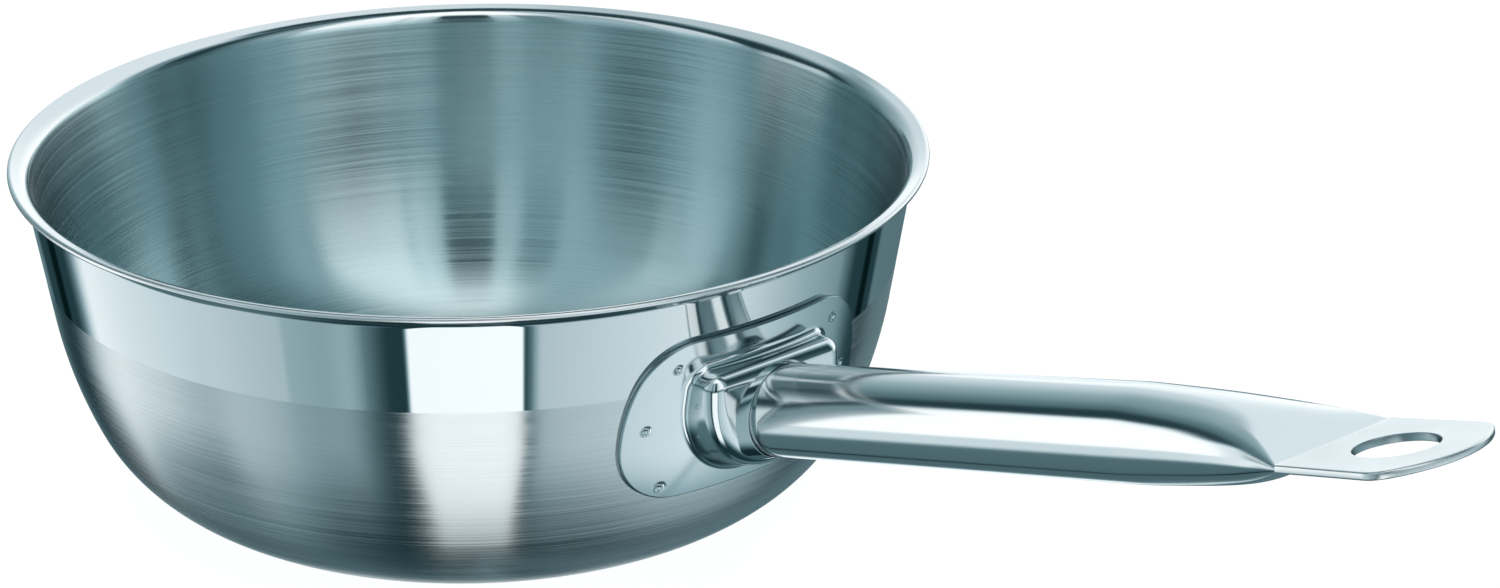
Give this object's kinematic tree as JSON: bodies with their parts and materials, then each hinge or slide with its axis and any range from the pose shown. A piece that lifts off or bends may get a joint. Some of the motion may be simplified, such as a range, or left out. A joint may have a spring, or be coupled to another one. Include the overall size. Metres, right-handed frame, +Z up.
{
  "type": "saucier pan",
  "caption": "Deep saucier pan of clad sheet with a curved wall and a flared pouring lip, and a long hollow handle pressed into a flat hanging tab.",
  "frame": {"origin": "centre of the flat base, on the surface that the pan stands on", "axes": "+Z up along the bowl's axis, +X along the handle away from the bowl, +Y to the left of the handle seen from the bowl"},
  "size_m": [0.4695, 0.25, 0.1185],
  "materials": {
    "inside_brushed": "fine circular brushing inside, with a smooth polished lip",
    "core_aluminium": "plain, seen only as a line in the lip edge",
    "outside_polished": "mirror polished above a fine turned line, brushed around below it",
    "bracket_polished": "mirror polished pressing with softly uneven reflections",
    "handle_polished": "mirror polished tube, satin flat tab",
    "weld_steel": "polished weld"
  },
  "bodies": {
    "root": {"bowl_inner_skin": "inside_brushed", "bowl_core": "core_aluminium", "bowl_outer_skin": "outside_polished", "handle_bracket": "bracket_polished", "spot_welds": "weld_steel", "handle_tube": "handle_polished", "socket_weld": "weld_steel"}
  },
  "joints": []
}
